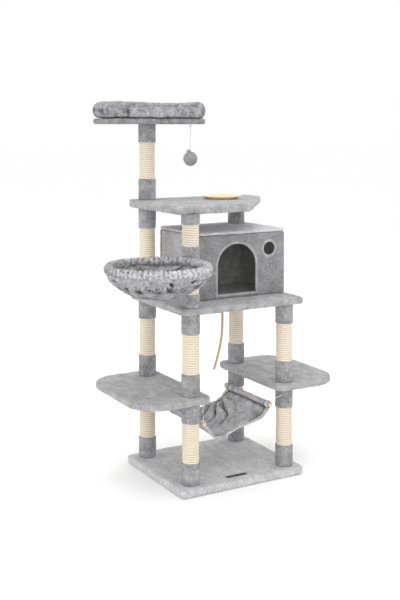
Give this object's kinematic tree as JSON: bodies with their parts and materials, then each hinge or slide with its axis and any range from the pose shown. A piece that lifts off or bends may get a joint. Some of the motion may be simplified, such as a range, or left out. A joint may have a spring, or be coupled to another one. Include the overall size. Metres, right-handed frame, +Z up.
{
  "type": "cat tree",
  "caption": "Tall plush cat tree: posts wound with sisal, side platforms, house with arched door, ring basket, hammock, dish platform and bolstered perch.",
  "frame": {"origin": "centre of the base's underside, on the floor", "axes": "+Z up; the front, with the house door and the label, faces -Y; +X to the right seen from the front"},
  "size_m": [1.161, 0.9033, 1.628],
  "materials": {
    "particle_board": "raw particle board",
    "plush": "short-pile plush",
    "cuff_plush": "short-pile plush",
    "house_plush": "short-pile plush over board",
    "trim_plush": "light plush edging",
    "basket_plush": "gathered long-pile plush",
    "card": "wound card",
    "sisal": "twisted natural fibre",
    "plug_plastic": "moulded",
    "steel": "zinc plated",
    "dark_steel": "powder coated",
    "rod_wood": "turned dowel",
    "ring_brass": "polished",
    "tie_cord": "braided cord",
    "pompom_pile": "fluffy pile",
    "dish_glaze": "glossy",
    "label_film": "satin"
  },
  "bodies": {
    "tree": {"base_board": "particle_board", "base_cover": "plush", "left_board": "particle_board", "left_cover": "plush", "right_board": "particle_board", "right_cover": "plush", "main_board": "particle_board", "main_cover": "plush", "upper_board": "particle_board", "upper_cover": "plush", "perch_board": "particle_board", "perch_cover": "plush", "tubes_back_left": "card", "tubes_front_left": "card", "tubes_front_right": "card", "tubes_back_right": "card", "roof_tube": "card", "end_plugs": "plug_plastic", "joining_studs": "steel", "bolts": "steel", "sisal_back_left_1": "sisal", "sisal_back_left_2": "sisal", "sisal_back_left_3": "sisal", "sisal_back_left_4": "sisal", "sisal_front_left_1": "sisal", "sisal_front_left_2": "sisal", "sisal_front_left_3": "sisal", "sisal_front_left_4": "sisal", "sisal_front_right_1": "sisal", "sisal_front_right_2": "sisal", "sisal_back_right_1": "sisal", "sisal_back_right_2": "sisal", "cuffs_back_left": "cuff_plush", "cuffs_front_left": "cuff_plush", "cuffs_front_right": "cuff_plush", "cuffs_back_right": "cuff_plush", "roof_sleeve": "cuff_plush", "house_front": "house_plush", "house_back": "house_plush", "house_left": "house_plush", "house_right": "house_plush", "house_roof": "house_plush", "door_trim": "trim_plush", "window_trim": "trim_plush", "basket_ring": "dark_steel", "basket_pouch": "basket_plush", "hammock_ties": "tie_cord", "hammock_eyes": "steel", "perch_bolster": "plush", "toy_staples": "steel", "blank_label": "label_film"},
    "dish": {"dish": "dish_glaze"},
    "pompom_ring": {"pompom_ring": "steel"},
    "pompom": {"pompom_string": "tie_cord", "pompom": "pompom_pile"},
    "rope": {"rope_loop": "sisal", "hanging_rope": "sisal"},
    "hammock": {"hammock_sling": "plush", "hammock_rods": "rod_wood", "hammock_rings": "ring_brass"}
  },
  "joints": [
    {"name": "dish_lift", "type": "slide", "parent": "tree", "child": "dish", "axis": [0, 0, 1], "range_m": [0, 0.12]},
    {"name": "pompom_ring_swing", "type": "hinge", "parent": "tree", "child": "pompom_ring", "pos_m": [-0.085, 0.062, 1.518], "axis": [0, 1, 0], "range_deg": [-60, 60]},
    {"name": "pompom_swing", "type": "hinge", "parent": "pompom_ring", "child": "pompom", "pos_m": [-0.085, 0.062, 1.5109], "axis": [1, 0, 0], "range_deg": [-60, 60]},
    {"name": "rope_swing", "type": "hinge", "parent": "tree", "child": "rope", "pos_m": [0.043, 0, 0.734], "axis": [0, 1, 0], "range_deg": [-50, 50]},
    {"name": "hammock_sway", "type": "slide", "parent": "tree", "child": "hammock", "axis": [0, 1, 0], "range_m": [-0.02, 0.02], "stiffness_N_per_m": 50, "deforming": ["hammock_ties"]}
  ]
}
